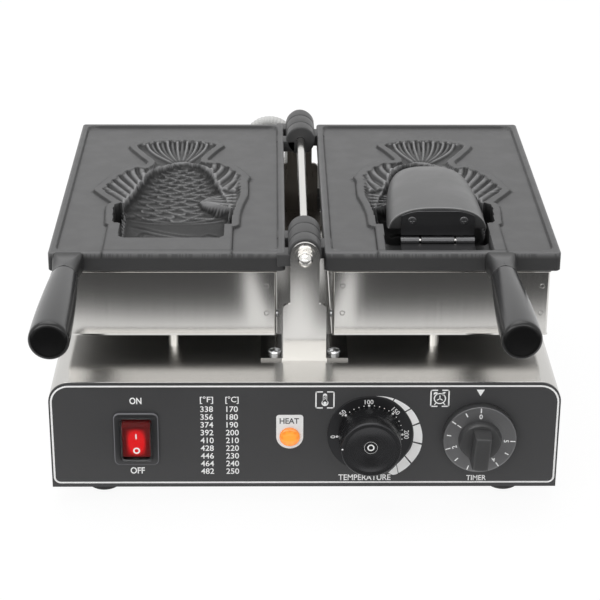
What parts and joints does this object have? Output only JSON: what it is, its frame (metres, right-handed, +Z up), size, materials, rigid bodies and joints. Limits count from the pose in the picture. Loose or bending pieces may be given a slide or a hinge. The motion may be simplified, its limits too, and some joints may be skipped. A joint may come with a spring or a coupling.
{
  "type": "waffle cone maker",
  "caption": "Counter-top waffle cone maker: two heated fish-shaped mould plates that fold like a book over a stainless base, with a hinged mouth core.",
  "frame": {"origin": "on the floor under the middle of the bounding box: on the hinge line from side to side, half way between the ends of the grips and the mains gland", "axes": "+X to the right seen from the front, +Y to the back along the hinge rod, +Z up"},
  "size_m": [0.341, 0.4436, 0.1857],
  "materials": {
    "stainless": "brushed stainless sheet and rod",
    "bright_steel": "bright zinc-plated steel",
    "panel_grey": "satin dark grey with white print",
    "mould_coat": "cast aluminium with a matt grey non-stick coat",
    "dark_steel": "dark hinge leaves",
    "grip_black": "smooth black phenolic",
    "knob_black": "satin black plastic",
    "dial_black": "matt black dial with white numbers",
    "rubber": "black rubber",
    "switch_red": "translucent red rocker",
    "clear_boot": "clear soft cover",
    "label_white": "white label",
    "amber": "amber lens",
    "white_plastic": "white insulating plastic",
    "phenolic": "brown moulding",
    "movement": "pressed case",
    "conduit_grey": "flexible metal conduit, pale grey",
    "wool": "white mineral fibre"
  },
  "bodies": {
    "base": {"base_shell": "stainless", "base_floor": "stainless", "control_panel": "panel_grey", "rear_panel": "stainless", "rear_panel_screws": "bright_steel", "rubber_feet": "rubber", "foot_screws": "bright_steel", "front_bracket": "stainless", "rear_bracket": "stainless", "bracket_screws": "bright_steel", "hinge_rod": "stainless", "cap_nuts": "bright_steel", "hinge_washers": "stainless", "rest_posts": "stainless", "switch_housing": "knob_black", "switch_boot": "clear_boot", "lamp_label": "label_white", "lamp_lens": "amber", "lamp_body": "white_plastic", "temperature_dial": "dial_black", "thermostat": "phenolic", "timer_movement": "movement", "terminal_block": "white_plastic", "mains_gland": "knob_black", "base_glands": "knob_black", "left_conduit": "conduit_grey", "right_conduit": "conduit_grey"},
    "left_half": {"left_plate": "mould_coat", "left_pan": "stainless", "left_pan_cover": "stainless", "left_pan_screws": "bright_steel", "left_element": "stainless", "left_insulation": "wool", "left_stud": "bright_steel", "left_grip": "grip_black", "left_gland": "knob_black"},
    "right_half": {"right_plate": "mould_coat", "right_pan": "stainless", "right_pan_cover": "stainless", "right_pan_screws": "bright_steel", "right_element": "stainless", "right_insulation": "wool", "right_stud": "bright_steel", "right_grip": "grip_black", "right_gland": "knob_black", "thermostat_bulb": "stainless", "core_lower_leaf": "dark_steel", "lower_leaf_screws": "bright_steel", "core_hinge_pin": "bright_steel"},
    "mouth_flap": {"mouth_core": "mould_coat", "core_upper_leaf": "dark_steel", "upper_leaf_screws": "bright_steel"},
    "rocker": {"power_rocker": "switch_red"},
    "temperature_control": {"temperature_knob": "knob_black", "thermostat_shaft": "bright_steel"},
    "timer_control": {"timer_knob": "knob_black", "timer_shaft": "bright_steel"}
  },
  "joints": [
    {"name": "left_fold", "type": "hinge", "parent": "base", "child": "left_half", "pos_m": [0, 0.03225, 0.1665], "axis": [0, 1, 0], "range_deg": [0, 180], "deforming": ["left_conduit"]},
    {"name": "right_fold", "type": "hinge", "parent": "base", "child": "right_half", "pos_m": [0, 0.03225, 0.1665], "axis": [0, -1, 0], "range_deg": [0, 180], "deforming": ["right_conduit"]},
    {"name": "core_lift", "type": "hinge", "parent": "right_half", "child": "mouth_flap", "pos_m": [0.09035, -0.06975, 0.16345], "axis": [-1, 0, 0], "range_deg": [-90, 0]},
    {"name": "rocker_press", "type": "hinge", "parent": "base", "child": "rocker", "pos_m": [-0.1125, -0.13425, 0.049], "axis": [-1, 0, 0], "range_deg": [0, 16]},
    {"name": "temperature_turn", "type": "hinge", "parent": "base", "child": "temperature_control", "pos_m": [0.0433, -0.14925, 0.052], "axis": [0, 1, 0], "range_deg": [0, 200]},
    {"name": "timer_turn", "type": "hinge", "parent": "base", "child": "timer_control", "pos_m": [0.1165, -0.14925, 0.051], "axis": [0, 1, 0], "range_deg": [0, 267.5]}
  ]
}
